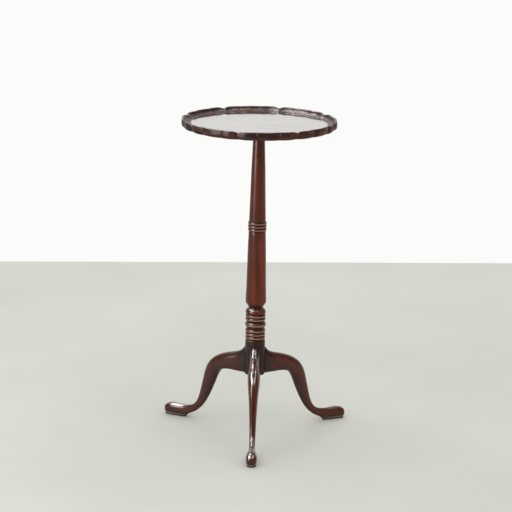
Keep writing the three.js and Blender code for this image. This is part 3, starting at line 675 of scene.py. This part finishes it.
def leg_ring(upper_r, upper_z, lower_r, lower_z, half_width, lower_squareness):
    """One section: a rounded oval, fuller below, and flat where the sole is planed."""
    ring = []
    for i in range(ROUND_STEPS):
        turn = 2 * math.pi * i / ROUND_STEPS
        c, s = math.cos(turn), math.sin(turn)
        power = 2 / (UPPER_SQUARENESS if c >= 0 else lower_squareness)
        rise = math.copysign(abs(c) ** power, c) / 2
        across = -math.copysign(abs(s) ** power, s) * half_width
        along = (upper_r + lower_r) / 2 + (upper_r - lower_r) * rise
        height = (upper_z + lower_z) / 2 + (upper_z - lower_z) * rise
        ring.append([along, across, height])
    return ring


# %% Carve the legs
PLATE_ROOM = 0.3  # play round the plate, in millimetres
PLATE_REACH, PLATE_ARM = 63, 16  # length and width of an arm
PLATE_ROUND_STEPS = 12  # flats on the round end of an arm
SHADE_REACH, SHADE_AT_HUB = 26, 0.9  # how far the painted shade spreads from the hub, and how dark it is there
SIDE_SHADE, UNDER_SHADE = 0.12, 0.7  # painted shade half way down a leg's side, and how much more of it lies under the leg


def leg_painted_shade(point, place_in_ring):
    """Painted shade where the leg meets the hub and on its under side."""
    near_hub = max(0, 1 - (point[0] - HUB_FIT) / SHADE_REACH)
    under = SIDE_SHADE - UNDER_SHADE * math.cos(2 * math.pi * place_in_ring / ROUND_STEPS)
    return max(SHADE_AT_HUB * near_hub, under, 0)


def plate_recess():
    """The room that the iron plate needs: a round with three arms, as one block."""
    plan = []
    half = PLATE_ARM / 2 + PLATE_ROOM
    reach = PLATE_REACH + PLATE_ROOM - half
    for turn in sorted(LEG_TURNS.values()):
        way = Matrix.Rotation(math.radians(turn), 2)
        for i in range(PLATE_ROUND_STEPS + 1):
            bend = math.radians(-90 + 180 / PLATE_ROUND_STEPS * i)
            plan.append(way @ Vector((reach + half * math.cos(bend), half * math.sin(bend))) * MM)
        inner = Vector((HUB_FIT * math.cos(math.radians(60)), HUB_FIT * math.sin(math.radians(60))))
        plan.append(way @ inner * MM)
    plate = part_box("tripod_plate")
    low, high = plate[0].z - 1 * MM, plate[1].z + PLATE_ROOM * MM
    recess = slab("plate_recess", plan, low, high)
    set_down(recess, Matrix.Translation(AXIS))
    return recess


def carve_leg(side):
    rings = [leg_ring(*row) for row in flowing(LEG_ROWS, 3)]
    for point in rings[0]:
        point[0] = math.sqrt(HUB_FIT ** 2 - point[1] ** 2)
    for number, ring in enumerate(rings):
        for point in ring:
            nearest_hub = math.sqrt(HUB_FIT ** 2 - min(abs(point[1]), HUB_FIT) ** 2)
            point[0] = max(point[0], nearest_hub + RING_ROOM * number)
            if point[0] > FOOT_FROM:
                point[2] = max(point[2], SOLE)
    leg_shading = [leg_painted_shade(point, i) for ring in rings for i, point in enumerate(ring)]
    rings = [[Vector(p) * MM for p in ring] for ring in rings]
    leg = new_piece("cabriole_leg_" + side, *skin(rings), crisp=50)
    keep_board(leg)
    mark_shade_and_sheen(leg, leg_shading)
    set_down(leg, Matrix.Translation(AXIS) @ Matrix.Rotation(math.radians(LEG_TURNS[side]), 4, "Z"))
    cut_away(leg, plate_recess())
    leg.data.materials.append(finish["leg"])
    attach(leg, "stand")
    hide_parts("leg_" + side)
    return leg


legs = {side: carve_leg(side) for side in LEG_TURNS}
print("leg faces:", len(legs["front"].data.polygons))

# %% [markdown]
# ## The pads under the feet
# Each pad is cut a little smaller than the sole, with a round toe and a narrow heel. A flat outline raised to
# its thickness is all it needs, and a bevel then rubs its edges round.

# %% Cut the pads
PAD_HEIGHT, PAD_TOE, PAD_HEEL = 4.7, 235.5, 180.5
TOE_HALF, HEEL_HALF = 10.4, 5.4
PAD_STEPS = 16  # steps round each end


def pad_outline():
    """A round toe and a narrow round heel, with straight sides between."""
    rows = []
    toe = (PAD_TOE - TOE_HALF, TOE_HALF, -80, 80)
    heel = (PAD_HEEL + HEEL_HALF, HEEL_HALF, 100, 260)
    for centre, half, start, end in (toe, heel):
        for i in range(PAD_STEPS + 1):
            turn = math.radians(start + (end - start) * i / PAD_STEPS)
            rows.append(((centre + half * math.cos(turn)) * MM, half * math.sin(turn) * MM))
    return rows


for side, turn in LEG_TURNS.items():
    # The pale upper edge of each pad is a painted highlight.
    pad = slab("foot_pad_highlit_edge_" + side, pad_outline(), 0, PAD_HEIGHT * MM)
    set_down(pad, Matrix.Translation(AXIS) @ Matrix.Rotation(math.radians(turn), 4, "Z"))
    ease_edges(pad, 0.8, rounds=3)
    pad.data.materials.append(finish["pad"])
    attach(pad, "stand")
    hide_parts("foot_pad_" + side)
print("pads cut:", len(LEG_TURNS))

# %% [markdown]
# ## The spring of the catch
# A few turns of steel wire push the bolt forward. When the knob is drawn back the wire closes up, so this is
# the one piece that gets shorter. It is modelled at rest.

# %% Wind the spring
SPRING_TURNS, WIRE = 5, 0.45
WIRE_SIDES, STEPS_PER_TURN = 8, 24
spring_low, spring_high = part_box("catch_spring")
coil_centre = (spring_low + spring_high) / 2
coil_radius = (spring_high.x - spring_low.x) / 2 / MM - WIRE
coil_from, coil_to = spring_low.y + WIRE * MM, spring_high.y - WIRE * MM
wire_rings = []
for step in range(SPRING_TURNS * STEPS_PER_TURN + 1):
    turn = 2 * math.pi * step / STEPS_PER_TURN
    out = Vector((math.cos(turn), 0, math.sin(turn)))
    along = coil_from + (coil_to - coil_from) * step / (SPRING_TURNS * STEPS_PER_TURN)
    centre = Vector((coil_centre.x, along, coil_centre.z)) + out * coil_radius * MM
    angles = [2 * math.pi * side / WIRE_SIDES for side in range(WIRE_SIDES)]
    wire_rings.append([centre + (out * math.cos(a) + Vector((0, 1, 0)) * math.sin(a)) * WIRE * MM
                       for a in angles])
spring = new_piece("wound_spring", *skin(wire_rings), crisp=60)
spring.data.materials.append(finish["steel"])
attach(spring, "tipping_top")
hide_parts("catch_spring")
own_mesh(spring)

# %% [markdown]
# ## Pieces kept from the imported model
# The block, bearers, plate, catch, pins and screws already have the right shape. They keep it and take a real
# finish, and their sharp corners are eased so that they catch a line of light.

# %% Finish the kept pieces
EDGE, SCREW_EDGE = 0.35, 0.12  # width of an eased corner, in millimetres
KEPT = {
    "plain": ("pivot_block", "tenon_wedge", "bearer_left", "bearer_right"),
    "brass": ("catch_case", "catch_keeper", "catch_bolt", "catch_knob", "catch_screw", "keeper_screw"),
    "iron": ("tripod_plate", "plate_screw", "bearer_screw"),
    "steel": ("pivot_pin",),
}
for kind, starts in KEPT.items():
    for name, node in nodes.items():
        if name.startswith(starts):
            node.data.materials.clear()
            node.data.materials.append(finish[kind])
            ease_edges(node, SCREW_EDGE if "screw" in name else EDGE)
print("kept pieces finished")

# %% [markdown]
# ## Floor, light and camera
# The table stands on a plain pale floor in a room of soft light. A bright panel behind the table gives the
# polished dish its sheen. A tall panel on the left draws the line of light down the column, and strips
# overhead draw the highlights on the legs.

# %% Floor
FLOOR_BACK = 1.57  # the wall's foot, in metres behind the table
FLOOR_SIDE = 14  # metres
FLOOR_TURN = 4.4  # degrees between the wall and the table's front
FLOOR_DROP = 0.0005  # keeps the floor just clear of the pads
floor_material, floor_tree = new_finish("pale_screed_floor")
floor_place = add_node(floor_tree, "TexCoord").outputs["Object"]
floor_noise = add_node(floor_tree, "TexNoise", {"Vector": floor_place, "Scale": 1.6, "Detail": 6.0})
floor_level = add_node(floor_tree, "MapRange", {
    "Value": floor_noise.outputs["Fac"], "From Min": 0.3, "From Max": 0.7})
floor_colour = add_node(floor_tree, "Mix", {
    "Factor": floor_level.outputs["Result"],
    COLOUR_A: linear("#c4c5bd"),
    COLOUR_B: linear("#cecfc7"),
}, data_type="RGBA")
close_finish(floor_tree, add_node(floor_tree, "BsdfPrincipled", {
    "Base Color": floor_colour.outputs[COLOUR_OUT], "Roughness": 0.7, "Specular IOR Level": 0.2}))
corners = [(-FLOOR_SIDE, -FLOOR_SIDE), (FLOOR_SIDE, -FLOOR_SIDE), (FLOOR_SIDE, 0), (-FLOOR_SIDE, 0)]
floor = new_piece("floor", [Vector((x, y, 0)) for x, y in corners], [(0, 1, 2, 3)])
floor.location = (0, FLOOR_BACK, -FLOOR_DROP)
floor.rotation_euler.z = math.radians(FLOOR_TURN)
floor.data.materials.append(floor_material)
print("floor made, with the wall", FLOOR_BACK, "m behind the table")

# %% World
LOW_SKY, HIGH_SKY = 1.24, 0.86  # soft light near the horizon and overhead
DIM_ROOM, BRIGHT_WALL = 0.17, 0.95  # what a polished surface mirrors: the room, and the wall behind the table
world = bpy.data.worlds.new("soft_room")
bpy.context.scene.world = world
world.use_nodes = True
world_tree = world.node_tree
world_tree.nodes.clear()
ray = add_node(world_tree, "LightPath")
wall = add_node(world_tree, "Background", {"Color": linear("#fbfcfa"), "Strength": 1.0})
way = add_node(world_tree, "TexCoord").outputs["Generated"]
parts_of_way = add_node(world_tree, "SeparateXYZ", {"Vector": way})
soft_share = add_node(world_tree, "MapRange", {
    "Value": parts_of_way.outputs["Z"], "From Min": 0.1, "From Max": 1.0,
    "To Min": LOW_SKY, "To Max": HIGH_SKY})
soft = add_node(world_tree, "Background", {
    "Color": linear("#fdfdfb"), "Strength": soft_share.outputs["Result"]})
wall_share = add_node(world_tree, "MapRange", {
    "Value": parts_of_way.outputs["Y"], "From Min": 0.35, "From Max": 0.6,
    "To Min": DIM_ROOM, "To Max": BRIGHT_WALL})
mirrored = add_node(world_tree, "Background", {
    "Color": linear("#f6f7f6"), "Strength": wall_share.outputs["Result"]})
unseen = add_node(world_tree, "MixShader", {
    0: ray.outputs["Is Diffuse Ray"], 1: mirrored.outputs["Background"], 2: soft.outputs["Background"]})
backdrop = add_node(world_tree, "MixShader", {
    0: ray.outputs["Is Camera Ray"], 1: unseen.outputs["Shader"], 2: wall.outputs["Background"]})
add_node(world_tree, "OutputWorld", {"Surface": backdrop.outputs["Shader"]})
print("world nodes:", len(world_tree.nodes))

# %% Lights
def soft_panel(name, place, aim, size, power):
    """A soft panel of light. It never shows itself. Places and sizes are in metres, power in watts."""
    light = bpy.data.lights.new(name, "AREA")
    light.shape = "RECTANGLE"
    light.size, light.size_y = size
    light.energy = power
    lamp = bpy.data.objects.new(name, light)
    bpy.context.scene.collection.objects.link(lamp)
    lamp.location = place
    lamp.rotation_euler = (Vector(aim) - Vector(place)).to_track_quat("-Z", "Y").to_euler()
    lamp.visible_camera = False
    return lamp


soft_panel("ceiling_panel", (0, -0.4, 3.6), (0, 0, 0), (5, 5), 16)
back_panel = soft_panel("back_panel", (0, 3.4, 1.6), (0, 0, 0.8), (4.2, 1.5), 8.5)
back_panel.data.color = linear("#fffdf6")[:3]
soft_panel("right_panel", (2.8, -1.6, 1.5), (0, 0, 0.5), (0.6, 2.0), 3)
STRIP_LENGTH, STRIP_HEIGHT, STRIP_Y = 3.0, 3.0, -0.1
STRIPS = [(-1.8, 0.7, 420), (-0.7, 0.4, 115), (0.8, 0.4, 100)]  # place along X, width in metres and watts
gleams = [
    soft_panel("back_gleam", (-0.8, 2.5, 3), (-0.1, 0.1, 0.2), (0.8, 0.8), 55),
    soft_panel("left_gleam", (-1.3, -1.0, 1.2), (0, 0, 1.2), (0.8, 1.7), 50),
]
for x, width, power in STRIPS:
    gleams.append(soft_panel("ceiling_strip", (x, STRIP_Y, STRIP_HEIGHT), (x, STRIP_Y, 0),
                             (width, STRIP_LENGTH), power))
for lamp in gleams:
    lamp.visible_diffuse = False  # these only draw highlights, so they add no second shadow
print("lamps that only draw highlights:", len(gleams))

# %% Camera
LENS, SENSOR = 133.8, 36  # millimetres
CAMERA_PLACE = (0.0573, -4.0254, 1.4300)  # metres
CAMERA_YAW, CAMERA_PITCH, CAMERA_ROLL = 0.832, 14.155, 1.1  # degrees
camera_data = bpy.data.cameras.new("camera")
camera_data.lens = LENS
camera_data.sensor_width = SENSOR
camera_data.clip_start, camera_data.clip_end = 0.05, 60
camera = bpy.data.objects.new("camera", camera_data)
bpy.context.scene.collection.objects.link(camera)
turned = (Matrix.Rotation(math.radians(CAMERA_YAW), 4, "Z")
          @ Matrix.Rotation(math.radians(90 - CAMERA_PITCH), 4, "X")
          @ Matrix.Rotation(math.radians(CAMERA_ROLL), 4, "Z"))
camera.matrix_world = Matrix.Translation(CAMERA_PLACE) @ turned
bpy.context.scene.camera = camera
bpy.context.scene.view_settings.view_transform = "Standard"
print("camera looks down by", CAMERA_PITCH, "degrees")
